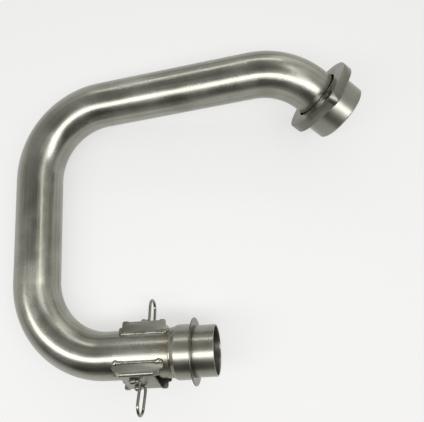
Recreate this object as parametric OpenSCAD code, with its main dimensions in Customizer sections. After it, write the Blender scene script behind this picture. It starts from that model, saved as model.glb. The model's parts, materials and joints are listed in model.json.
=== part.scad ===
/* [Header tube] */
// Outside diameter of the tube
tube_od = 38.1; // [34:0.1:42]
// Wall of the tube
tube_wall = 1.2; // [0.8:0.1:2]

/* [Tube route from the outlet to the port] */
// Straight tube between the collar seam and the low bend
outlet_run = 54.9; // [50:0.1:80]
// Centreline radius of the low bend
low_bend_r = 61; // [50:0.5:80]
// Angle of the low bend
low_bend_angle = 92.6; // [80:0.1:100]
// Straight tube between the low bend and the high bend
side_run = 87.8; // [40:0.1:140]
// Centreline radius of the high bend
high_bend_r = 65.5; // [50:0.5:80]
// Angle of the high bend
high_bend_angle = 84.3; // [75:0.1:100]
// Straight tube between the high bend and the port bend
long_run = 131; // [90:0.5:180]
// Turn of the port bend out of the plane of the other two
port_bend_roll = 33; // [20:0.5:45]
// Centreline radius of the port bend
port_bend_r = 65.5; // [50:0.5:80]
// Angle of the port bend
port_bend_angle = 47; // [35:0.5:60]

/* [Port ring and flange] */
// Straight tube between the port bend and the back of the flange
flange_stand = 6.5; // [4:0.1:15]
// Thickness of the flange plate
flange_thick = 7.9; // [5:0.1:12]
// Diameter of the round middle of the flange
flange_body_d = 65; // [60:0.5:70]
// Radial play of the flange round the tube
flange_play = 1.65; // [1:0.05:2.5]
// Distance between the centres of the two stud holes
stud_spacing = 63; // [60:0.5:70]
// Diameter of a stud hole
stud_hole_d = 8.5; // [6.5:0.1:9.5]
// Radius of the ear round a stud hole
ear_r = 8; // [7:0.1:10]
// Turn of the loose flange about the tube as it lies
flange_rest_turn = -100.6; // [-180:0.1:180]
// Outside diameter of the port ring
port_ring_od = 49.6; // [48:0.1:54]
// Length of the port ring
port_ring_len = 19; // [12:0.5:25]
// Length of the lip that stops the tube inside the port ring
port_lip_len = 4; // [2:0.5:6]
// Diameter of the gas way through the lip
port_lip_bore_d = 36.7; // [36.2:0.1:37.4]
// Chamfer round the open end of the port ring
port_ring_chamfer = 0.9; // [0.4:0.1:1.5]

/* [Outlet collar, stop ring and spigot] */
// Outside diameter of the spigot
spigot_od = 39.1; // [37:0.1:43]
// Wall of the spigot
spigot_wall = 1.2; // [0.8:0.1:2]
// Length of the spigot outside the stop ring
spigot_reach = 16.7; // [10:0.1:40]
// Depth of the step behind the mouth of the spigot, which the stop ring seats against
spigot_step = 0.3; // [0.1:0.05:0.5]
// Length of the spigot inside the collar
spigot_depth = 12; // [6:0.5:12.5]
// Outside diameter of the stop ring
stop_ring_od = 51.6; // [48:0.1:58]
// Thickness of the stop ring
stop_ring_thick = 1; // [0.8:0.1:2]
// Wall of the collar
collar_wall = 1.2; // [0.8:0.1:2]
// Length of the round part of the collar
collar_len = 13; // [12.5:0.5:25]
// Length of the cone between the tube and the collar
cone_len = 3.7; // [3:0.1:10]

/* [Brackets] */
// Width of a bracket over its two side plates
bracket_width = 28.6; // [24:0.1:30]
// Height of the web above the tube
bracket_rise = 3.8; // [3:0.1:10]
// Sheet of the brackets
bracket_sheet = 1.5; // [1:0.1:2]
// Length of the side plates at the web
plate_len = 35.5; // [30:0.5:36]
// Length of the side plates over the ears at the tube
plate_ear_len = 40.3; // [37:0.1:42]
// Height of the narrow part of the side plates
plate_narrow_height = 5; // [4:0.1:7]
// Length of the web
web_len = 26.3; // [20:0.1:29]
// Inside radius of the folds between the web and the side plates
fold_in_r = 1; // [0.5:0.1:1.5]
// Chamfer of the corners of the side plates
ear_chamfer = 1; // [0.5:0.1:1.5]
// Gap between the seam bead and the ears of the upper bracket
upper_bracket_gap = 1.2; // [0.1:0.1:10]
// Turn of the upper bracket about the tube
upper_bracket_roll = 22; // [0:0.5:40]
// Gap between the seam bead and the ears of the lower bracket
lower_bracket_gap = 3.3; // [0.1:0.1:10]
// Turn of the lower bracket about the tube
lower_bracket_roll = 213; // [180:0.5:230]

/* [Spring loops] */
// Diameter of the loop wire
wire_d = 2.3; // [1.8:0.1:3]
// Distance between the two legs of a loop
leg_spacing = 14; // [10:0.5:16]
// Height of the upper loop above the web
upper_loop_height = 21.8; // [18:0.1:30]
// Height of the lower loop above the web
lower_loop_height = 24.6; // [18:0.1:30]
// Shift of the upper loop from the middle of its bracket towards the outlet
upper_loop_shift = 2.1; // [-3:0.1:3]
// Shift of the lower loop from the middle of its bracket towards the outlet
lower_loop_shift = 1.8; // [-3:0.1:3]
// Length of the straight foot that is welded to the web
foot_len = 4.5; // [3:0.1:6]
// Bend radius between a leg and its foot
foot_bend_r = 2.4; // [2:0.1:3]

/* [Welds] */
// Radius of the bead along a side plate
plate_bead_r = 1.7; // [1.2:0.1:2.2]
// Width of the bead round the collar seam
seam_bead_width = 1.6; // [1.2:0.1:3]
// Height of the bead round the collar seam
seam_bead_height = 0.4; // [0.3:0.1:0.6]
// Radius of the weld over the middle of a foot
foot_weld_r = 2.4; // [2:0.1:2.8]
// Reach of the weld's curve from the middle of a foot
foot_weld_reach = 3.4; // [3.2:0.1:4]

/* [Fits] */
// Gap between pieces that are joined by welding
weld_gap = 0.1; // [0.05:0.05:0.3]
// Gap all round the spigot inside the collar
spigot_slip = 0.25; // [0.1:0.05:0.5]
// Gap between the flange and the port ring
flange_gap = 0.3; // [0.2:0.05:1]

/* [Lying position] */
// Roll of the part as it lies
lie_roll = -0.387; // [-40:0.001:40]
// Pitch of the part as it lies
lie_pitch = -7.41; // [-40:0.001:40]
// Place of the open end of the spigot as the part lies
lie_at = [15.653, -99.451, 38.062];

/* [Hidden] */
$fn = 48;

tube_r = tube_od / 2;
bore_r = tube_r - tube_wall;
// a mandrel bend comes out this much fatter than the straight tube
bend_swell = 0.03;
// length by which a straight reaches into the bend beside it
bend_lap = 0.5;
wire_lap = 0.2;
// length by which a cutting solid passes through what it cuts
over = 1;

spigot_r = spigot_od / 2;
neck_r = spigot_r - spigot_step;
collar_bore_r = spigot_r + spigot_slip;
collar_r = collar_bore_r + collar_wall;
mouth_x = spigot_reach + stop_ring_thick;
cone_x = mouth_x + collar_len;
seam_x = cone_x + cone_len;
// end of the seam bead, which the brackets stand clear of
bead_end_x = seam_x + seam_bead_width / 2;

flange_bore_r = tube_r + flange_play;
shoulder_x = flange_stand + flange_thick + flange_gap;
tube_seat = port_ring_len - port_lip_len;
port_leg = shoulder_x + tube_seat;
stud_r = stud_spacing / 2;
// angle between the line of the ears and the normal of a flange side
flank = acos((flange_body_d / 2 - ear_r) / stud_r);
// depth by which a straight side lies inside the round parts that it joins
side_inset = 0.02;

web_y = tube_r + bracket_rise;
fold_out_r = fold_in_r + bracket_sheet;
// length by which a fold reaches into the plate below and beside it
fold_lap = 0.05;
half_width = bracket_width / 2;
// height above the tube axis at which the outer face of a side plate meets the tube
foot_y = sqrt(tube_r * tube_r - half_width * half_width);
wire_r = wire_d / 2;
half_legs = leg_spacing / 2;
foot_wire_y = web_y + weld_gap + wire_r;

steel = "#a9a69b";
bright_steel = "#b9b7ad";
weld_steel = "#8f8b80";

// Lays the part down from the frame of its outlet, in which the open end is at the origin, the tube runs
// along +X and its first bend turns towards +Y.
module lying() translate(lie_at) rotate([lie_roll, 180 + lie_pitch, 0]) children();

// A solid of revolution about +X, from a profile drawn as [distance from the axis, place along X].
module turned() rotate([0, 90, 0]) rotate([0, 0, 90]) rotate_extrude() children();

module rod(len, r, before = 0, after = 0)
    translate([-before, 0, 0]) rotate([0, 90, 0]) cylinder(h = before + len + after, r = r);

// A round bend that starts at the origin along +X and turns towards +Y.
module bend(centre_r, angle, r)
    translate([0, centre_r, 0]) rotate([0, 0, -90]) rotate_extrude(angle = angle)
        translate([centre_r, 0]) circle(r = r + bend_swell);

// Carries its children to the end of such a bend.
module past_bend(centre_r, angle)
    translate([0, centre_r, 0]) rotate([0, 0, angle]) translate([0, -centre_r, 0]) children();

module past_low_bend()
    translate([seam_x + outlet_run, 0, 0]) past_bend(low_bend_r, low_bend_angle) children();

module past_high_bend()
    past_low_bend() translate([side_run, 0, 0]) past_bend(high_bend_r, high_bend_angle) children();

module at_port_bend() past_high_bend() translate([long_run, 0, 0]) rotate([port_bend_roll, 0, 0]) children();

// The port leg runs along +X from the end of the port bend.
module at_port_leg() at_port_bend() past_bend(port_bend_r, port_bend_angle) children();

// The whole route as one solid of radius r, longer at both ends by ends.
module tube_route(r, ends) {
    translate([seam_x, 0, 0]) {
        rod(outlet_run, r, ends, bend_lap);
        translate([outlet_run, 0, 0]) bend(low_bend_r, low_bend_angle, r);
    }
    past_low_bend() {
        rod(side_run, r, bend_lap, bend_lap);
        translate([side_run, 0, 0]) bend(high_bend_r, high_bend_angle, r);
    }
    past_high_bend() rod(long_run, r, bend_lap, bend_lap);
    at_port_bend() bend(port_bend_r, port_bend_angle, r);
    at_port_leg() rod(port_leg, r, bend_lap, ends);
}

module header_tube()
    color(steel) lying() difference() {
        tube_route(tube_r, 0);
        tube_route(bore_r, over);
    }

// Half outline of the collar and cone, with the outside or the inside radii.
function collar_line(mouth_r, seam_r) = [[mouth_r, mouth_x], [mouth_r, cone_x], [seam_r, seam_x]];

module outlet_collar()
    color(steel) lying() turned()
        polygon(concat(collar_line(collar_r, tube_r), [[bore_r, seam_x], [collar_bore_r, cone_x],
            [collar_bore_r, mouth_x]]));

module collar_weld() {
    half = seam_bead_width / 2;
    bead_r = (half * half + seam_bead_height * seam_bead_height) / (2 * seam_bead_height);
    color(weld_steel) lying() turned() difference() {
        translate([tube_r + seam_bead_height - bead_r, seam_x]) circle(r = bead_r);
        // what lies under the surface of the tube and of the cone is cut away
        translate([tube_r + weld_gap - 2 * bead_r, seam_x - bead_r]) square(2 * bead_r);
        translate([weld_gap, 0])
            polygon(concat([[0, mouth_x]], collar_line(collar_r, tube_r), [[0, seam_x]]));
    }
}

module stop_ring()
    color(bright_steel) lying() turned()
        translate([neck_r + weld_gap, spigot_reach])
            square([stop_ring_od / 2 - neck_r - weld_gap, stop_ring_thick]);

module outlet_spigot()
    color(bright_steel) lying() difference() {
        union() {
            rod(spigot_reach, spigot_r);
            rod(mouth_x + spigot_depth, neck_r);
        }
        rod(mouth_x + spigot_depth, spigot_r - spigot_wall, over, over);
    }

module port_ring() {
    outer_r = port_ring_od / 2;
    lip_r = port_lip_bore_d / 2;
    end_x = shoulder_x + port_ring_len;
    seat_r = tube_r + weld_gap;
    cut = port_ring_chamfer;
    color(steel) lying() at_port_leg() turned()
        polygon([[seat_r, shoulder_x], [outer_r, shoulder_x], [outer_r, end_x - cut], [outer_r - cut, end_x],
            [lip_r + cut, end_x], [lip_r, end_x - cut], [lip_r, port_leg + weld_gap],
            [seat_r, port_leg + weld_gap]]);
}

// The flange plate: a round middle with two ears along Y and straight sides between them, up to X = thick.
module flange_plate(thick) {
    body_r = flange_body_d / 2;
    rod(thick, body_r);
    for (side = [0, 1]) mirror([0, side, 0]) {
        translate([0, stud_r, 0]) rod(thick, ear_r);
        rotate([90, 0, 90]) linear_extrude(thick)
            polygon([for (p = [[0, body_r, 1], [stud_r, ear_r, 1], [stud_r, ear_r, -1], [0, body_r, -1]])
                [p[0] + (p[1] - side_inset) * cos(flank), (p[1] - side_inset) * p[2] * sin(flank)]]);
    }
}

module port_flange()
    color(steel) lying() at_port_leg()
        translate([flange_stand, 0, 0]) rotate([flange_rest_turn, 0, 0]) difference() {
            flange_plate(flange_thick);
            rod(flange_thick, flange_bore_r, over, over);
            for (side = [-1, 1]) translate([0, side * stud_r, 0])
                rod(flange_thick, stud_hole_d / 2, over, over);
        }

// One side plate: ears at the tube and a narrow part up to the web.
module side_plate() {
    ear_y = web_y - plate_narrow_height;
    half_ear = plate_ear_len / 2;
    half_plate = plate_len / 2;
    outline = [[half_ear, 0], [half_ear, ear_y - ear_chamfer], [half_ear - ear_chamfer, ear_y],
        [half_plate, ear_y], [half_plate, web_y - ear_chamfer], [half_plate - ear_chamfer, web_y]];
    mirrored = [for (i = [len(outline) - 1:-1:0]) [-outline[i][0], outline[i][1]]];
    translate([0, 0, half_width - bracket_sheet]) linear_extrude(bracket_sheet)
        polygon(concat(outline, mirrored));
}

// Quarter of a fold, drawn from its centre.
module fold_section() intersection() {
    difference() {
        circle(r = fold_out_r);
        circle(r = fold_in_r);
    }
    square(fold_out_r);
}

// A folded bracket whose web faces +Y, cut to sit on the tube.
module bracket() difference() {
    union() {
        for (side = [0, 1]) mirror([0, 0, side]) difference() {
            side_plate();
            // the fold takes the plate's edge over the length of the web
            translate([fold_lap - web_len / 2, web_y - fold_out_r, half_width - fold_out_r])
                cube([web_len - 2 * fold_lap, fold_out_r + over, fold_out_r + over]);
        }
        translate([-web_len / 2, 0, 0]) rotate([0, 90, 0]) linear_extrude(web_len) {
            for (side = [0, 1]) mirror([side, 0]) {
                translate([half_width - fold_out_r, web_y - fold_out_r]) fold_section();
                translate([half_width - bracket_sheet, web_y - fold_out_r - fold_lap])
                    square([bracket_sheet, fold_lap]);
            }
            translate([fold_out_r - half_width, web_y - bracket_sheet])
                square([bracket_width - 2 * fold_out_r, bracket_sheet]);
        }
    }
    rod(2 * plate_ear_len, tube_r + weld_gap, plate_ear_len, 0);
}

// The two beads that run along the feet of the side plates.
module bracket_beads() difference() {
    for (side = [-1, 1])
        translate([plate_bead_r - plate_ear_len / 2, foot_y, side * (half_width + weld_gap)])
            rod(plate_ear_len - 2 * plate_bead_r, plate_bead_r);
    rod(2 * plate_ear_len, tube_r + weld_gap, plate_ear_len, 0);
    translate([-plate_ear_len, -over, -half_width - weld_gap])
        cube([2 * plate_ear_len, web_y + over, bracket_width + 2 * weld_gap]);
}

// Half of a loop: a foot on the web, a bend, and a leg up to the arch.
module half_loop(height) translate([0, foot_wire_y, half_legs]) {
    leg = height - weld_gap - 2 * wire_r - half_legs - foot_bend_r;
    translate([foot_bend_r, 0, 0]) {
        rod(foot_len, wire_r, wire_lap, 0);
        mirror([1, 0, 0]) bend(foot_bend_r, 90, wire_r);
    }
    translate([0, foot_bend_r, 0]) rotate([0, 0, 90]) rod(leg, wire_r, wire_lap, wire_lap);
}

// A wire loop that stands on the web, in the plane across the tube.
module spring_loop(height) {
    for (side = [0, 1]) mirror([0, 0, side]) half_loop(height);
    translate([0, web_y + height - wire_r - half_legs, 0]) rotate([0, -90, 0]) rotate_extrude(angle = 180)
        translate([half_legs, 0]) circle(r = wire_r + bend_swell);
}

// The two welds that hold the feet of a loop to the web.
module foot_welds() {
    arc_r = (foot_weld_reach * foot_weld_reach + foot_weld_r * foot_weld_r) / (2 * foot_weld_r);
    for (side = [-1, 1]) translate([foot_bend_r + foot_len / 2, 0, side * half_legs]) difference() {
        translate([0, foot_wire_y, 0]) turned() intersection() {
            translate([foot_weld_r - arc_r, 0]) circle(r = arc_r);
            translate([0, -foot_len / 2]) square([2 * foot_weld_r, foot_len]);
        }
        translate([0, foot_wire_y, 0]) rod(2 * foot_len, wire_r + weld_gap, foot_len, 0);
        translate([-foot_len, 0, -2 * foot_weld_r]) cube([2 * foot_len, web_y + weld_gap, 4 * foot_weld_r]);
    }
}

// Carries its children to the middle of a bracket that stands this far from the seam bead, turned by roll.
module at_bracket(gap, roll)
    lying() translate([bead_end_x + gap + plate_ear_len / 2, 0, 0]) rotate([roll, 0, 0]) children();

module at_upper_bracket() at_bracket(upper_bracket_gap, upper_bracket_roll) children();
module at_lower_bracket() at_bracket(lower_bracket_gap, lower_bracket_roll) children();
module at_upper_loop() at_upper_bracket() translate([-upper_loop_shift, 0, 0]) children();
module at_lower_loop() at_lower_bracket() translate([-lower_loop_shift, 0, 0]) children();

module upper_bracket() color(steel) at_upper_bracket() bracket();
module upper_bracket_weld() color(weld_steel) at_upper_bracket() bracket_beads();
module upper_loop() color(bright_steel) at_upper_loop() spring_loop(upper_loop_height);
module upper_loop_weld() color(weld_steel) at_upper_loop() foot_welds();
module lower_bracket() color(steel) at_lower_bracket() bracket();
module lower_bracket_weld() color(weld_steel) at_lower_bracket() bracket_beads();
module lower_loop() color(bright_steel) at_lower_loop() spring_loop(lower_loop_height);
module lower_loop_weld() color(weld_steel) at_lower_loop() foot_welds();

header_tube();
collar_weld();
outlet_collar();
stop_ring();
outlet_spigot();
port_ring();
port_flange();
upper_bracket();
upper_bracket_weld();
upper_loop();
upper_loop_weld();
lower_bracket();
lower_bracket_weld();
lower_loop();
lower_loop_weld();
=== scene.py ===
import json
import math
import bpy
import numpy as np
from mathutils import Matrix


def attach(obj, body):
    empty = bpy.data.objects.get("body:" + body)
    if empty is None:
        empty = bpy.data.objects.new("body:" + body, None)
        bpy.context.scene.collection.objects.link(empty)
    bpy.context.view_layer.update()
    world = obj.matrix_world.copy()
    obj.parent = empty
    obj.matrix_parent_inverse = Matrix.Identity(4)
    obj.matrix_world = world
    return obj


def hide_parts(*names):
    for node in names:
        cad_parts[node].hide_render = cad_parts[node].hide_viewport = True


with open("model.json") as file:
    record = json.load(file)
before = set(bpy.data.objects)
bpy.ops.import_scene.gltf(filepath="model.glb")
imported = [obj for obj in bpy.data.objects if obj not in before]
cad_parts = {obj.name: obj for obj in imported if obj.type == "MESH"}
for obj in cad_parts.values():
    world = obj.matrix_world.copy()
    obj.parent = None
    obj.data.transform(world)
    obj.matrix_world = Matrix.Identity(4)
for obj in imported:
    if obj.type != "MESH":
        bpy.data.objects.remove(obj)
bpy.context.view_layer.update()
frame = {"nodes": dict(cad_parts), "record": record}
mm = 0.001

# The view: a camera almost straight above the pipe, as it lies on the floor
view = {
    "imageWidth": 424,      # pixels
    "focalPixels": 430.0,
    "sensor": 36.0,         # mm
    "at": (0.02532, -0.04895, 0.38609),
    "right": (0.99665, -0.07660, -0.02875),
    "up": (0.08033, 0.98291, 0.16564),
}


def makeCamera():
    camera = bpy.data.cameras.new("camera")
    camera.sensor_width = view["sensor"]
    camera.lens = view["focalPixels"] / view["imageWidth"] * view["sensor"]
    holder = bpy.data.objects.new("camera", camera)
    bpy.context.scene.collection.objects.link(holder)
    right, up = np.array(view["right"]), np.array(view["up"])
    back = np.cross(right, up)
    facing = Matrix(np.stack([right, up, back], 1).tolist()).to_4x4()
    holder.matrix_world = Matrix.Translation(view["at"]) @ facing
    bpy.context.scene.camera = holder


makeCamera()
print("camera placed")


# Frames and paths: a frame is a 4 by 4 matrix with its place in metres

def shift(x, y, z):
    frameMatrix = np.eye(4)
    frameMatrix[:3, 3] = (x, y, z)
    return frameMatrix


def turn(axis, degrees):
    return np.array(Matrix.Rotation(math.radians(degrees), 4, axis.upper()))


def carry(frameMatrix, points):
    # each point turned and moved by the frame
    return points @ frameMatrix[:3, :3].T + frameMatrix[:3, 3]


lying = {"roll": -0.387, "pitch": -7.41}      # degrees, as the pipe comes to rest
mounts = {m["name"]: m for m in frame["record"]["mounts"]}


def mouthFrame():
    # open end of the spigot, with X along the pipe
    spigot = mounts["outlet_spigot"]
    reach = spigot["dims"]["length_mm"] * mm / 2
    at = np.array(spigot["pos_m"]) + reach * np.array(spigot["axis"])
    return shift(*at) @ turn("y", 180 + lying["pitch"]) @ turn("x", lying["roll"])


mouth = mouthFrame()


# A line of straight runs and round bends. The directions across it never twist, so that the brushing
# of the steel runs on from one stretch to the next.
class Path:
    def __init__(self, start, steps):
        self.parts, here, arrived, twist = [], start, 0.0, 0.0
        for step in steps:
            here = here @ turn("x", step.get("roll", 0))
            twist -= step.get("roll", 0)
            self.parts.append((arrived, here, step, twist))
            if "run" in step:
                here = here @ shift(step["run"] * mm, 0, 0)
                arrived += step["run"] * mm
            else:
                radius = step["radius"] * mm
                here = here @ shift(0, radius, 0) @ turn("z", step["bend"]) @ shift(0, -radius, 0)
                arrived += math.radians(step["bend"]) * radius
        self.length, self.end = arrived, here

    def at(self, along):
        # a run goes on along X, a bend goes round a centre that lies on Y: x = R sin t, y = R - R cos t
        along = np.asarray(along, float)
        centre, ahead = np.zeros((along.size, 3)), np.zeros((along.size, 3))
        side, third = np.zeros((along.size, 3)), np.zeros((along.size, 3))
        for i, (begins, here, step, twist) in enumerate(self.parts):
            last = i == len(self.parts) - 1
            ends = np.inf if last else self.parts[i + 1][0]
            chosen = (along < ends) & ((along >= begins) | (i == 0))
            x = along[chosen] - begins
            t, swing = np.zeros_like(x), np.zeros_like(x)
            if "bend" in step:
                radius, limit = step["radius"] * mm, math.radians(step["bend"])
                t = np.clip(x / radius, 0, limit)
                beyond = x - t * radius
                swing = radius * (1 - np.cos(t)) + beyond * np.sin(t)
                x = radius * np.sin(t) + beyond * np.cos(t)
            local = np.stack([x, swing, 0 * x], 1)
            toX = np.stack([np.cos(t), np.sin(t), 0 * t], 1)
            toY = np.stack([-np.sin(t), np.cos(t), 0 * t], 1)
            centre[chosen] = carry(here, local)
            ahead[chosen] = toX @ here[:3, :3].T
            toY, toZ = toY @ here[:3, :3].T, np.tile(here[:3, 2], (x.size, 1))
            angle = math.radians(twist)
            side[chosen] = math.cos(angle) * toY + math.sin(angle) * toZ
            third[chosen] = math.cos(angle) * toZ - math.sin(angle) * toY
        return centre, ahead, side, third


def straight(start):
    return Path(start, [{"run": 1.0}])


# Surfaces

def finishMesh(name, vertices, faces, uv=None, grain=None):
    mesh = bpy.data.meshes.new(name)
    mesh.from_pydata(vertices.tolist(), [], faces)
    if uv is not None:
        layer = mesh.uv_layers.new(name="along")
        layer.data.foreach_set("uv", uv.astype(np.float32).ravel())
    if grain is not None:
        attribute = mesh.attributes.new("straightened", "FLOAT_VECTOR", "POINT")
        attribute.data.foreach_set("vector", grain.astype(np.float32).ravel())
    mesh.polygons.foreach_set("use_smooth", np.ones(len(mesh.polygons), bool))
    mesh.validate()
    piece = bpy.data.objects.new(name, mesh)
    bpy.context.scene.collection.objects.link(piece)
    return piece


def gridSurface(name, points, grain, uv, capped):
    # each row closes on itself and is joined to the next; the ends meet, or a fan closes each of them
    rows, columns = points.shape[:2]
    i, j = np.meshgrid(np.arange(rows - 1 if capped else rows), np.arange(columns), indexing="ij")
    i, j = i.ravel(), j.ravel()
    iNext, jNext = (i + 1) % rows, (j + 1) % columns
    faces = np.stack([i * columns + j, i * columns + jNext, iNext * columns + jNext, iNext * columns + j], 1)
    corners = np.stack([uv[i, j], uv[i, j + 1], uv[i + 1, j + 1], uv[i + 1, j]], 1)
    vertices, grain = points.reshape(-1, 3), grain.reshape(-1, 3)
    a, b, c, d = (vertices[faces[:, k]] for k in range(4))
    inward = np.sum(a * (np.cross(b, c) + np.cross(c, d))) < 0
    if inward:
        faces, corners = faces[:, ::-1], corners[:, ::-1]
    faces, corners = faces.tolist(), corners.reshape(-1, 2)
    if capped:
        vertices = np.concatenate([vertices, points[[0, -1]].mean(1)])
        grain = np.concatenate([grain, grain.reshape(rows, columns, 3)[[0, -1]].mean(1)])
        k = np.arange(columns)
        for row, pole in ((0, rows * columns), (rows - 1, rows * columns + 1)):
            fan = np.stack([row * columns + (k + 1) % columns, row * columns + k, 0 * k + pole], 1)
            fanCorners = np.stack([uv[row, k + 1], uv[row, k], (uv[row, k] + uv[row, k + 1]) / 2], 1)
            if inward != (row > 0):
                fan, fanCorners = fan[:, ::-1], fanCorners[:, ::-1]
            faces += fan.tolist()
            corners = np.concatenate([corners, fanCorners.reshape(-1, 2)])
    return finishMesh(name, vertices, faces, corners, grain)


def roundPipe(name, path, profile, sides, swell=None, capped=False, cut=None):
    # the profile (distance along the path, radius) is turned round the path:
    # centre + r (cos a * side + sin a * third)
    along, radius = profile[:, 0] * mm, profile[:, 1] * mm
    centre, ahead, side, third = path.at(along)
    angle = np.arange(sides) * 2 * math.pi / sides
    r = np.repeat(radius[:, None], sides, 1)
    if swell is not None:
        r = r + swell(along[:, None] + 0 * r, angle[None, :] + 0 * r) * mm
    points = (centre[:, None] + r[..., None] * (np.cos(angle)[None, :, None] * side[:, None]
              + np.sin(angle)[None, :, None] * third[:, None]))
    if cut is not None:
        points = cut(points)
    grain = np.stack([along[:, None] + 0 * r, r * np.cos(angle), r * np.sin(angle)], 2)
    edge = np.hypot(np.diff(along, append=along[0]), np.diff(radius, append=radius[0]))
    walked = np.concatenate([[0], np.cumsum(edge)])
    girth = np.arange(sides + 1) * 2 * math.pi / sides * radius.max()
    uv = np.stack(np.broadcast_arrays(walked[:, None], girth[None, :]), 2)
    return gridSurface(name, points, grain, uv, capped)


longestArc, smallestArc = 0.45, 1e-4        # as a share of the shorter side, and in mm


def softened(corners, radii, steps=5):
    # each corner of a closed outline gives way to an arc that touches both of its sides
    corners = [np.array(c, float) for c in corners]
    outline = []
    for k, corner in enumerate(corners):
        before, after = corners[k - 1] - corner, corners[(k + 1) % len(corners)] - corner
        lengths = np.linalg.norm(before), np.linalg.norm(after)
        before, after = before / lengths[0], after / lengths[1]
        half = math.acos(np.clip(before @ after, -1, 1)) / 2
        radius = radii[k] if np.ndim(radii) else radii
        reach = min(radius / math.tan(half), longestArc * min(lengths))
        radius = reach * math.tan(half)
        if radius < smallestArc:
            outline.append(corner)
            continue
        middle = (before + after) / np.linalg.norm(before + after)
        centre = corner + middle * radius / math.sin(half)
        start, end = corner + before * reach - centre, corner + after * reach - centre
        sweep = math.atan2(start[0] * end[1] - start[1] * end[0], start @ end)
        for t in np.linspace(0, sweep, steps + 1):
            spin = np.array([[math.cos(t), -math.sin(t)], [math.sin(t), math.cos(t)]])
            outline.append(centre + spin @ start)
    return np.array(outline)


def refined(outline, longest):
    # long sides of a closed outline are cut so that no piece is longer than this
    following = np.roll(outline, -1, axis=0)
    pieces = np.maximum(1, np.ceil(np.linalg.norm(following - outline, axis=1) / longest)).astype(int)
    return np.concatenate([a + (b - a) * (np.arange(n) / n)[:, None]
                           for a, b, n in zip(outline, following, pieces)])


copied = {"merge": 0.002, "flat": 1, "sharp": 35, "segments": 3}       # mm, degrees, degrees


def dressCopy(name, node, bevel):
    # a copy of a CAD node with its edges rounded
    mesh = frame["nodes"][node].data.copy()
    mesh.materials.clear()
    piece = bpy.data.objects.new(name, mesh)
    bpy.context.scene.collection.objects.link(piece)
    bpy.context.view_layer.objects.active = piece
    weld = piece.modifiers.new("weld", "WELD")
    weld.merge_threshold = copied["merge"] * mm
    flat = piece.modifiers.new("flat", "DECIMATE")
    flat.decimate_type = "DISSOLVE"
    flat.angle_limit = math.radians(copied["flat"])
    edge = piece.modifiers.new("edge", "BEVEL")
    edge.width = bevel * mm
    edge.segments = copied["segments"]
    edge.limit_method = "ANGLE"
    edge.angle_limit = math.radians(copied["sharp"])
    edge.harden_normals = True
    mesh.polygons.foreach_set("use_smooth", np.ones(len(mesh.polygons), bool))
    return piece


def seat(piece, node, body, material):
    piece.data.materials.append(material)
    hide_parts(*node.split())
    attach(piece, body)


# Finishes

def linear(hexColour):
    # an sRGB hex colour as linear light
    parts = [int(hexColour[k:k + 2], 16) / 255 for k in (1, 3, 5)]
    return [p / 12.92 if p <= 0.04045 else ((p + 0.055) / 1.055) ** 2.4 for p in parts] + [1.0]


def grey(level):
    return (level, level, level, 1.0)


def addNode(tree, kind, inputs=None, stops=None, **settings):
    # a node with its settings, its links or plain values, and its stops if it is a colour ramp
    node = tree.nodes.new(kind)
    for name, value in settings.items():
        setattr(node, name, value)
    for name, value in (inputs or {}).items():
        if isinstance(value, bpy.types.NodeSocket):
            tree.links.new(value, node.inputs[name])
        else:
            node.inputs[name].default_value = value
    if stops:
        elements = node.color_ramp.elements
        while len(elements) < len(stops):
            elements.new(1.0)
        for element, (place, colour) in zip(elements, stops):
            element.position = place
            element.color = colour
    return node


# The levels of each noise between which a finish changes, and the turn of its lattice in radians
spread = {
    "cloud": (0.3, 0.55, 0.75), "rough": (0.3, 0.7), "lines": (0.3, 0.7), "streaks": (0.36, 0.56),
    "speckDark": 0.4, "latticeTurn": (0.5, 0.4, 0.3),
}


def tubeMarks(tree, look, where, noise):
    # What belt and heat left on the tube: wide faint streaks, a few small dark pits where the distance to a
    # scattered point is less than half their width, and a straw tint that fades away from the seam.
    faint, clear = spread["streaks"]
    streaks = addNode(tree, "ShaderNodeValToRGB", {"Fac": noise["streaks"]},
                      stops=[(faint, grey(1 - look["streakDepth"])), (clear, grey(1.0))])
    turned = addNode(tree, "ShaderNodeMapping", {"Vector": where, "Rotation": spread["latticeTurn"]})
    scattered = addNode(tree, "ShaderNodeTexVoronoi", {"Vector": turned.outputs[0],
                                                       "Scale": 1 / (look["speckGap"] * mm)})
    half = look["speckWidth"] / look["speckGap"] / 2
    specks = addNode(tree, "ShaderNodeValToRGB", {"Fac": scattered.outputs["Distance"]},
                     stops=[(half / 2, grey(spread["speckDark"])), (half, grey(1.0))])
    along = addNode(tree, "ShaderNodeSeparateXYZ", {0: where}).outputs["X"]
    wander = addNode(tree, "ShaderNodeMath", {0: noise["cloud"], 1: 0.5}, operation="ADD")
    far = addNode(tree, "ShaderNodeMath", {0: along, 1: look["heatReach"] * mm}, operation="DIVIDE")
    far = addNode(tree, "ShaderNodeMath", {0: far.outputs[0], 1: wander.outputs[0]}, operation="MULTIPLY")
    tint = addNode(tree, "ShaderNodeValToRGB", {"Fac": far.outputs[0]},
                   stops=[(place, linear(colour)) for place, colour in look["heat"]])
    return streaks, specks, tint


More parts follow.
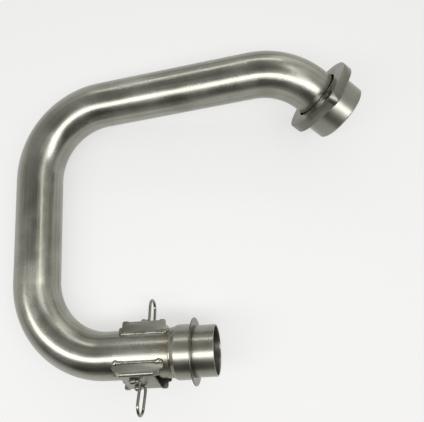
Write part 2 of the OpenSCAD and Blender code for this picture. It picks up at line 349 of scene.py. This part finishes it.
def steel(name, look):
    # Stainless steel that was rubbed with an abrasive: a warm grey metal whose fine lines spread a
    # reflection across the lines and keep it sharper along them.
    material = bpy.data.materials.new(name)
    material.use_nodes = True
    tree = material.node_tree
    shader = tree.nodes["Principled BSDF"]
    if look["lines"] == "anyway":
        where = addNode(tree, "ShaderNodeTexCoord").outputs["Object"]
    else:
        where = addNode(tree, "ShaderNodeAttribute", attribute_name="straightened").outputs["Vector"]
    length, width = look["lineLength"], look["lineWidth"]
    lineCells = {"along": (length, width, width), "around": (width, length, length), "anyway": (width,) * 3}
    patterns = [("lines", lineCells[look["lines"]], 2.0), ("cloud", (look["cloud"],) * 3, 3.0),
                ("pits", (look["pit"],) * 3, 2.0)]
    if look["streakDepth"]:
        patterns.append(("streaks", (look["streakLength"], look["streakWidth"], look["streakWidth"]), 2.0))
    noise = {}
    for pattern, cells, detail in patterns:
        # turned after it is stretched, so that its lattice never shows as bands across the piece
        scale = [1 / (cell * mm) for cell in cells]
        laid = addNode(tree, "ShaderNodeMapping", {"Vector": where, "Scale": scale,
                                                   "Rotation": spread["latticeTurn"]})
        made = addNode(tree, "ShaderNodeTexNoise", {"Vector": laid.outputs[0], "Scale": 1.0,
                                                    "Detail": detail})
        noise[pattern] = made.outputs[0]
    colours = [linear(look[shade]) for shade in ("dark", "plain", "light")]
    colour = addNode(tree, "ShaderNodeValToRGB", {"Fac": noise["cloud"]},
                     stops=list(zip(spread["cloud"], colours)))
    faint, clear = spread["lines"]
    lined = addNode(tree, "ShaderNodeValToRGB", {"Fac": noise["lines"]},
                    stops=[(faint, grey(1 - look["lineDepth"])), (clear, grey(1.0))])
    painted, marks = colour.outputs[0], [lined]
    if look["streakDepth"]:
        marks += tubeMarks(tree, look, where, noise)
    for mark in marks:
        product = addNode(tree, "ShaderNodeMix", {0: 1.0, 6: painted, 7: mark.outputs[0]},
                          data_type="RGBA", blend_type="MULTIPLY")
        painted = product.outputs[2]
    low, high = spread["rough"]
    rough = addNode(tree, "ShaderNodeMapRange", {
        "Value": noise["cloud"], "From Min": low, "From Max": high,
        "To Min": look["roughness"] - look["roughSpread"], "To Max": look["roughness"] + look["roughSpread"]})
    dent = addNode(tree, "ShaderNodeMath", {0: noise["lines"], 1: look["linePart"]}, operation="MULTIPLY")
    pitted = addNode(tree, "ShaderNodeMath", {0: noise["pits"], 1: look["pitPart"], 2: dent.outputs[0]},
                     operation="MULTIPLY_ADD")
    bump = addNode(tree, "ShaderNodeBump", {"Height": pitted.outputs[0], "Strength": 1.0,
                                            "Distance": look["bump"] * mm})
    tree.links.new(painted, shader.inputs["Base Color"])
    tree.links.new(rough.outputs[0], shader.inputs["Roughness"])
    tree.links.new(bump.outputs[0], shader.inputs["Normal"])
    shader.inputs["Metallic"].default_value = 1.0
    if look["stretch"]:
        shader.inputs["Anisotropic"].default_value = look["stretch"]
        shader.inputs["Anisotropic Rotation"].default_value = 0.0 if look["lines"] == "around" else 0.25
        tangent = addNode(tree, "ShaderNodeTangent", direction_type="UV_MAP", uv_map="along")
        tree.links.new(tangent.outputs[0], shader.inputs["Tangent"])
    return material


# Stainless tube polished on a belt: satin, with lines along it, streaks and a straw tint by the seam.
# The real lines are some 0.05 mm wide; they are drawn ten times as coarse, so that they show.
tubeLook = {
    "lines": "along", "lineLength": 45.0, "lineWidth": 0.6, "lineDepth": 0.17, "linePart": 0.6,
    "streakLength": 110.0, "streakWidth": 2.6, "streakDepth": 0.19, "speckGap": 5.0, "speckWidth": 0.9,
    "heatReach": 12.0, "heat": [(0.0, "#ddd6c6"), (0.15, "#e6e1d4"), (0.4, "#f6f3ec"), (1.0, "#ffffff")],
    "cloud": 26.0, "pit": 1.2, "pitPart": 0.01, "bump": 0.006,
    "dark": "#919085", "plain": "#a3a298", "light": "#b0afa5",
    "roughness": 0.27, "roughSpread": 0.05, "stretch": 0.3,
}
# Stainless steel turned on a lathe: fine rings round the axis, which draw a light out across them.
turnedLook = dict(tubeLook, lines="around", lineLength=30.0, lineWidth=0.5, lineDepth=0.12, stretch=0.25,
                  dark="#88877c", plain="#99988e", light="#a6a59b", roughness=0.30, streakDepth=0)
# The stop ring is pressed from sheet and keeps its duller mill skin.
ringLook = dict(turnedLook, dark="#6b6961", plain="#79776e", light="#85847c", roughness=0.3)
# Cold-rolled stainless sheet, cut and folded: duller and less directed than the tube.
sheetLook = dict(tubeLook, lines="anyway", lineWidth=0.9, lineDepth=0.12, linePart=0.4, pitPart=0.3,
                 dark="#807f75", plain="#908f85", light="#9c9b91", roughness=0.32, stretch=0, streakDepth=0)
# Thick plate, milled and blasted: the dullest and darkest steel of the pipe.
flangeLook = dict(sheetLook, dark="#716f66", plain="#7e7d74", light="#8c8b81", roughness=0.32)
# Wire drawn through a die: smooth, so that it glints.
wireLook = dict(tubeLook, lineWidth=0.5, dark="#7d7c72", plain="#8d8c82", light="#9b9a91", roughness=0.2,
                stretch=0, streakDepth=0)
# Weld metal that cooled in the air: glossy laps with brown and straw oxide between them.
weldLook = dict(sheetLook, dark="#716f65", plain="#8d8c82", light="#aaa9a1", roughness=0.28,
                cloud=6.0, pit=1.8, pitPart=0.15, bump=0.012)

brushedTube = steel("brushed stainless tube", tubeLook)
turnedRing = steel("turned stainless steel", turnedLook)
pressedRing = steel("pressed stainless ring", ringLook)
foldedSheet = steel("folded stainless sheet", sheetLook)
milledPlate = steel("milled stainless plate", flangeLook)
drawnWire = steel("drawn stainless wire", wireLook)
weldMetal = steel("heat-tinted weld metal", weldLook)
print("finishes made")


# The bent tube

tube = {
    "outer": 19.05, "wall": 1.2, "starts": 34.4,        # mm, starts at the seam of the collar
    "outletRun": 54.9, "lowRadius": 61.0, "lowAngle": 92.6, "sideRun": 87.8,
    "highRadius": 65.5, "highAngle": 84.3, "longRun": 131.0,
    "portRoll": 33.0, "portRadius": 65.5, "portAngle": 47.0, "portLeg": 29.7,
    "sides": 128, "step": 1.5, "edge": 0.3,
}
tubePath = Path(mouth @ shift(tube["starts"] * mm, 0, 0), [
    {"run": tube["outletRun"]}, {"bend": tube["lowAngle"], "radius": tube["lowRadius"]},
    {"run": tube["sideRun"]}, {"bend": tube["highAngle"], "radius": tube["highRadius"]},
    {"run": tube["longRun"]},
    {"bend": tube["portAngle"], "radius": tube["portRadius"], "roll": tube["portRoll"]},
    {"run": tube["portLeg"]}])
portLeg = tubePath.end @ shift(-tube["portLeg"] * mm, 0, 0)     # where the port bend ends


def tubeProfile():
    length, outer = tubePath.length / mm, tube["outer"]
    inner = outer - tube["wall"]
    outline = softened([(0, outer), (length, outer), (length, inner), (0, inner)], tube["edge"])
    return refined(outline, tube["step"])


headerTube = roundPipe("bent_tube", tubePath, tubeProfile(), tube["sides"])
seat(headerTube, "header_tube", "pipe", brushedTube)
print("tube swept")


# The rings and sleeves at both ends

outlet = {
    "spigotOuter": 19.55, "spigotInner": 18.35, "spigotReach": 16.7, "neck": 19.25, "depth": 12.0,
    "ringOuter": 25.8, "ringThick": 1.0, "collarBore": 19.8, "collarOuter": 21.0, "collarLength": 13.0,
    "coneLength": 3.7, "sides": 160, "step": 1.0, "lap": 0.1,
    # how round the corners are, in the order of each outline
    "spigotEdges": [0.5, 0.5, 0.1, 0.1, 0.2, 0.2], "ringEdges": [0.1, 0.4, 0.4, 0.1],
    "collarEdges": [0.1, 0.25, 3.0, 3.0, 0.1, 1.0],
    "beadWidth": 1.6, "beadHeight": 0.38, "beadRoot": 0.2, "beadSides": 400, "beadRows": 9,
    "lapDepth": 0.02, "laps": 30, "wanderDepth": 0.05, "wanders": 5,
}


def outletRings():
    o = outlet
    path = straight(mouth)
    ringEnd = o["spigotReach"] + o["ringThick"]
    coneStart = ringEnd + o["collarLength"]
    seam = coneStart + o["coneLength"]
    tubeInner = tube["outer"] - tube["wall"]
    spigot = softened([(0, o["spigotInner"]), (0, o["spigotOuter"]), (o["spigotReach"], o["spigotOuter"]),
                       (o["spigotReach"], o["neck"]), (ringEnd + o["depth"], o["neck"]),
                       (ringEnd + o["depth"], o["spigotInner"])], o["spigotEdges"])
    ring = softened([(o["spigotReach"], o["neck"] + o["lap"]), (o["spigotReach"], o["ringOuter"]),
                     (ringEnd, o["ringOuter"]), (ringEnd, o["neck"] + o["lap"])], o["ringEdges"])
    collar = softened([(ringEnd, o["collarBore"]), (ringEnd, o["collarOuter"]), (coneStart, o["collarOuter"]),
                       (seam, tube["outer"]), (seam, tubeInner), (coneStart, o["collarBore"])],
                      o["collarEdges"])
    for name, node, outline, slot, material in (
            ("outlet_spigot_sleeve", "outlet_spigot", spigot, "collar", turnedRing),
            ("outlet_stop_ring", "stop_ring", ring, "ring", pressedRing),
            ("outlet_sleeve", "outlet_collar", collar, "collar", turnedRing)):
        piece = roundPipe(name, path, refined(outline, o["step"]), o["sides"])
        seat(piece, node, "pipe", material)

    def ripple(along, angle):
        # laps of weld metal round the seam, unevenly spaced, and a slow wander
        laps = np.sin(angle * o["laps"] + 1.3 * np.sin(3 * angle))
        return o["lapDepth"] * laps + o["wanderDepth"] * np.sin(o["wanders"] * angle + 1)

    t = np.linspace(0, math.pi, o["beadRows"])
    half, root = o["beadWidth"] / 2, tube["outer"] - o["beadRoot"]
    bead = np.stack([seam - half * np.cos(t), tube["outer"] + o["beadHeight"] * np.sin(t)], 1)
    under = np.array([(seam + half, root), (seam - half, root)])
    piece = roundPipe("outlet_seam_bead", path, np.concatenate([bead, under]), o["beadSides"], ripple)
    seat(piece, "collar_weld", "pipe", weldMetal)


outletRings()

port = {
    "ringOuter": 24.8, "lipBore": 18.35, "shoulder": 14.7, "length": 19.0, "chamfer": 0.9, "gap": 0.1,
    "sides": 160, "step": 1.0, "edge": 0.15,
}


def portRing():
    p = port
    end, seatEnd = p["shoulder"] + p["length"], tube["portLeg"] + p["gap"]
    bore = tube["outer"] + p["gap"]
    outline = softened([(p["shoulder"], bore), (p["shoulder"], p["ringOuter"]),
                        (end - p["chamfer"], p["ringOuter"]), (end, p["ringOuter"] - p["chamfer"]),
                        (end, p["lipBore"] + p["chamfer"]), (end - p["chamfer"], p["lipBore"]),
                        (seatEnd, p["lipBore"]), (seatEnd, bore)], p["edge"])
    piece = roundPipe("port_end_ring", straight(portLeg), refined(outline, p["step"]), p["sides"])
    seat(piece, "port_ring", "pipe", turnedRing)


portRing()
print("rings turned")


# The flange, the brackets and their loops

bevels = {"flange": 0.5, "bracket": 0.25}       # mm
flange = dressCopy("loose_flange", "port_flange", bevels["flange"])
seat(flange, "port_flange", "flange", milledPlate)
for side in ("upper", "lower"):
    folded = dressCopy(side + "_folded_bracket", side + "_bracket", bevels["bracket"])
    seat(folded, side + "_bracket", "pipe", foldedSheet)

brackets = {
    # each one's distance from the mouth in mm and its turn round the tube in degrees
    "upper": {"at": 56.55, "roll": 22.0},
    "lower": {"at": 58.65, "roll": 213.0},
    "web": 22.85, "halfWidth": 14.3, "footHeight": 12.58, "earLength": 40.3,
}


def bracketFrame(name):
    place = brackets[name]
    return mouth @ shift(place["at"] * mm, 0, 0) @ turn("x", place["roll"])


loops = {
    "wire": 2.3, "half": 7.0, "foot": 4.5, "footRadius": 2.4, "gap": 0.1, "sides": 24, "step": 0.4,
    "cut": 0.5, "cutAngles": [0, 22, 45, 67, 90], "cutEnd": 0.6,        # the rounded ends of the wire
    "upper": {"height": 21.8, "shift": 2.1},
    "lower": {"height": 24.6, "shift": 1.8},
}


def wireLoop(name):
    # foot, bend, leg, round arch, leg, bend and foot, as one bent wire
    w, place = loops, loops[name]
    footHeight = brackets["web"] + w["gap"] + w["wire"] / 2
    leg = place["height"] - w["gap"] - w["wire"] - w["half"] - w["footRadius"]
    start = bracketFrame(name) @ shift((w["footRadius"] + w["foot"] - place["shift"]) * mm, footHeight * mm,
                                       w["half"] * mm) @ turn("y", 180)
    path = Path(start, [{"run": w["foot"]}, {"bend": 90, "radius": w["footRadius"]}, {"run": leg},
                        {"bend": 180, "radius": w["half"], "roll": 90}, {"run": leg},
                        {"bend": 90, "radius": w["footRadius"], "roll": -90}, {"run": w["foot"]}])
    length, radius = path.length / mm, w["wire"] / 2
    t = np.radians(w["cutAngles"])
    cap = np.stack([w["cut"] * (1 - np.sin(t)), radius - w["cut"] * (1 - np.cos(t))], 1)
    middle = np.arange(w["cutEnd"], length - w["cutEnd"], w["step"])
    outline = np.concatenate([cap, np.stack([middle, 0 * middle + radius], 1),
                              np.stack([length - cap[::-1, 0], cap[::-1, 1]], 1)])
    return roundPipe(name + "_wire_loop", path, outline, w["sides"], capped=True)


for side in ("upper", "lower"):
    seat(wireLoop(side), side + "_loop", "pipe", drawnWire)
print("loops bent")


# The welds of the brackets and loops

beads = {
    "radius": 1.95, "thin": 1.05, "stitch": 6.0, "fade": 1.2, "end": 1.4, "short": 0.3, "step": 0.25,
    "angles": (96, -54, 22),        # degrees from the first to the last, and how many
    "back": (-0.7, -0.1, 0.5), "inset": (-0.1, -0.6, -0.4),     # mm from the corner, inside the steel
    "lap": 4.2, "lapDepth": 0.08, "lumpDepth": 0.12, "smooth": 0.15, "grid": 0.4,
}


def lumps(along, angle, seed):
    # laps of the weld pool, plus two slow waves; the seed shifts them, so that no two beads are the same
    laps = np.sin(2 * math.pi * along / beads["lap"] + 0.35 * np.sin(angle + seed))
    slow = np.sin(0.9 * along + 5 * seed) * np.cos(2 * angle + seed)
    slow = slow + 0.5 * np.sin(1.5 * along + 2 * angle + seed)
    return beads["lapDepth"] * laps + beads["lumpDepth"] * slow


def bracketBeads(name):
    # a fillet along the foot of each side plate: corner + r(x) (cos a, sin a), with its back in the steel
    b, plates = beads, brackets
    half = plates["earLength"] / 2 - b["short"]
    x = np.arange(-half, half + b["step"] / 2, b["step"])
    reach = half - np.abs(x)
    taper = np.sqrt(np.clip(1 - (1 - np.clip(reach / b["end"], 0, 1)) ** 2, 0.02, 1))
    stitch = 1 / (1 + np.exp((reach - b["stitch"]) * b["fade"]))
    angle = np.radians(np.linspace(*b["angles"]))
    for number, hand in enumerate((-1, 1)):
        seed = 1.7 * number + (3.1 if name == "upper" else 0.4)
        r = (b["thin"] + (b["radius"] - b["thin"]) * stitch)[:, None] * taper[:, None]
        r = r * (1 + lumps(x[:, None], angle[None, :], seed) * (b["smooth"] + stitch[:, None]))
        y, z = r * np.sin(angle), r * np.cos(angle)
        y = plates["footHeight"] + np.concatenate([y, taper[:, None] * b["back"]], 1)
        z = plates["halfWidth"] + np.concatenate([z, taper[:, None] * b["inset"]], 1)
        points = np.stack([x[:, None] + 0 * y, y, hand * z], 2)
        rows, columns = y.shape
        u, v = np.meshgrid(x * mm, np.arange(columns + 1) * b["grid"] * mm, indexing="ij")
        placed = carry(bracketFrame(name), points.reshape(-1, 3) * mm).reshape(points.shape)
        piece = gridSurface(f"{name}_bracket_bead_{number + 1}", placed, points * mm,
                            np.stack([u, v], 2), True)
        seat(piece, name + "_bracket_weld", "pipe", weldMetal)


footWelds = {
    "over": 0.9,        # how far the arc would run on past both ends
    "sides": 64, "step": 0.15, "lumps": 0.55, "finer": 2, "bluntness": 6,
    "upper": {"radius": 1.95, "length": 4.2, "beyond": 0.0},
    "lower": {"radius": 2.5, "length": 6.6, "beyond": 1.4},
}


def loopWelds(name):
    # a dome over each foot: a round bar whose radius follows an arc, flat where it lies on the web
    f, wire = dict(footWelds, **footWelds[name]), loops
    reach = f["length"] / 2 + f["over"]
    bulge = (reach ** 2 + f["radius"] ** 2) / (2 * f["radius"])
    x = np.arange(0, f["length"] + f["step"] / 2, f["step"])
    off = x - f["length"] / 2
    radius = f["radius"] - bulge + np.sqrt(bulge ** 2 - off ** 2)
    radius = radius * np.sqrt(np.clip(1 - np.abs(2 * off / f["length"]) ** f["bluntness"], 0.06, 1))
    outward = np.linalg.inv(bracketFrame(name))
    height = (brackets["web"] + wire["gap"]) * mm

    def flatten(points):
        local = carry(outward, points.reshape(-1, 3))
        local[:, 1] = np.maximum(local[:, 1], height)
        return carry(bracketFrame(name), local).reshape(points.shape)

    ahead = wire["footRadius"] + wire["foot"] / 2 - f["length"] / 2 + f["beyond"] - wire[name]["shift"]
    wireHeight = (brackets["web"] + wire["gap"] + wire["wire"] / 2) * mm
    for number, hand in enumerate((-1, 1)):
        seed = 2.3 * number + (0.8 if name == "upper" else 4.1)

        def swell(along, angle):
            return f["lumps"] * lumps(along / mm * f["finer"], angle, seed)

        start = bracketFrame(name) @ shift(ahead * mm, wireHeight, hand * wire["half"] * mm)
        piece = roundPipe(f"{name}_loop_weld_{number + 1}", straight(start), np.stack([x, radius], 1),
                          f["sides"], swell, capped=True, cut=flatten)
        seat(piece, name + "_loop_weld", "pipe", weldMetal)


for side in ("upper", "lower"):
    bracketBeads(side)
    loopWelds(side)
print("welds laid")


# Floor and light

light = {
    # strips of light that hang near the pipe: middle, what each one faces, length and width, and radiance
    "above": {"at": (-0.12, -0.175, 0.56), "to": (-0.12, -0.02, 0.0), "size": (1.25, 0.18), "radiance": 5.8},
    "behind": {"at": (-0.05, 0.76, 0.52), "to": (0.0, 0.05, 0.0), "size": (0.85, 0.08), "radiance": 4.7},
    "beside": {"at": (0.45, 0.12, 0.95), "to": (0.0, 0.0, 0.0), "size": (0.10, 0.8), "radiance": 3.4},
    "floor": "#cfcecc", "floorRough": 0.9, "floorGloss": 0.1, "floorReach": 12.0,
    "floorWhite": 0.6,      # how much of what the camera and the metal see of the floor is plain white
    # level of the room against how far a direction points to +Y, from -1 to 1
    "room": [(-1.0, 0.10), (-0.75, 0.05), (-0.4, 0.12), (-0.1, 0.24), (0.12, 0.22), (0.45, 0.27), (0.7, 0.36),
             (1.0, 0.60)],
    # how many times lighter the room is towards -X and +X
    "ends": [(-1.0, 3.6), (-0.92, 3.0), (-0.80, 1.9), (-0.3, 1.4), (0.0, 1.0), (0.12, 1.3), (0.35, 2.8),
             (0.80, 3.2), (0.95, 2.2), (1.0, 2.6)],
    # a pale wall stands behind everything, up to this height, and fades into the room above it
    "wall": {"level": 0.66, "full": 0.06, "gone": 0.16}, "roomColour": "#fefdfa",
}


def makeFloor():
    # a matt board that keeps the pipe's shadow, with a share of plain white for the rays that see it
    mesh = bpy.data.meshes.new("floor")
    reach = light["floorReach"]
    corners = [(-reach, -reach, 0), (reach, -reach, 0), (reach, reach, 0), (-reach, reach, 0)]
    mesh.from_pydata(corners, [], [(0, 1, 2, 3)])
    floor = bpy.data.objects.new("floor", mesh)
    bpy.context.scene.collection.objects.link(floor)
    material = bpy.data.materials.new("pale matt board")
    material.use_nodes = True
    tree = material.node_tree
    shader = tree.nodes["Principled BSDF"]
    shader.inputs["Base Color"].default_value = linear(light["floor"])
    shader.inputs["Roughness"].default_value = light["floorRough"]
    shader.inputs["Specular IOR Level"].default_value = light["floorGloss"]
    rays = addNode(tree, "ShaderNodeLightPath").outputs
    seen = addNode(tree, "ShaderNodeMath", {0: rays["Is Camera Ray"], 1: rays["Is Glossy Ray"]},
                   operation="MAXIMUM")
    seen = addNode(tree, "ShaderNodeMath", {0: seen.outputs[0], 1: rays["Is Transmission Ray"]},
                   operation="MAXIMUM")
    share = addNode(tree, "ShaderNodeMath", {0: seen.outputs[0], 1: light["floorWhite"]},
                    operation="MULTIPLY")
    white = addNode(tree, "ShaderNodeEmission", {"Color": linear("#ffffff"), "Strength": 1.0})
    both = addNode(tree, "ShaderNodeMixShader", {0: share.outputs[0], 1: shader.outputs[0],
                                                 2: white.outputs[0]})
    tree.links.new(both.outputs[0], tree.nodes["Material Output"].inputs["Surface"])
    mesh.materials.append(material)


def makeLamp(name):
    # an even rectangle of light: its power is pi times its radiance times its area
    lamp = bpy.data.lights.new(name, "AREA")
    lamp.shape = "RECTANGLE"
    lamp.size, lamp.size_y = light[name]["size"]
    lamp.energy = math.pi * light[name]["radiance"] * lamp.size * lamp.size_y
    holder = bpy.data.objects.new(name, lamp)
    bpy.context.scene.collection.objects.link(holder)
    away = np.array(light[name]["at"]) - np.array(light[name]["to"])
    away /= np.linalg.norm(away)
    across = np.cross((0, 1, 0), away)
    across /= np.linalg.norm(across)
    turned = Matrix(np.stack([across, np.cross(away, across), away], 1).tolist()).to_4x4()
    holder.matrix_world = Matrix.Translation(light[name]["at"]) @ turned
    holder.visible_camera = False


def makeRoom():
    # the room is a smooth grey that changes with direction: one ramp along Y times another along X,
    # mixed with a pale wall where the direction's height is low
    world = bpy.data.worlds.new("room")
    world.use_nodes = True
    tree = world.node_tree
    direction = addNode(tree, "ShaderNodeTexCoord").outputs["Generated"]
    parts = addNode(tree, "ShaderNodeSeparateXYZ", {0: direction})
    levels = []
    for name, part in (("room", "Y"), ("ends", "X")):
        place = addNode(tree, "ShaderNodeMath", {0: parts.outputs[part], 1: 0.5, 2: 0.5},
                        operation="MULTIPLY_ADD")
        stops = [((at + 1) / 2, grey(level)) for at, level in light[name]]
        ramp = addNode(tree, "ShaderNodeValToRGB", {"Fac": place.outputs[0]}, stops=stops)
        ramp.color_ramp.interpolation = "EASE"
        levels.append(ramp.outputs[0])
    strength = addNode(tree, "ShaderNodeMath", {0: levels[0], 1: levels[1]}, operation="MULTIPLY")
    wall = light["wall"]
    low = addNode(tree, "ShaderNodeMapRange", {"Value": parts.outputs["Z"], "From Min": wall["gone"],
                                               "From Max": wall["full"]}, interpolation_type="SMOOTHSTEP")
    strength = addNode(tree, "ShaderNodeMix", {0: low.outputs[0], 2: strength.outputs[0], 3: wall["level"]},
                       data_type="FLOAT")
    background = tree.nodes["Background"]
    background.inputs["Color"].default_value = linear(light["roomColour"])
    tree.links.new(strength.outputs[0], background.inputs["Strength"])
    bpy.context.scene.world = world


makeFloor()
for lampName in ("above", "behind", "beside"):
    makeLamp(lampName)
makeRoom()
bpy.context.scene.view_settings.view_transform = "Standard"
print("floor and light set")
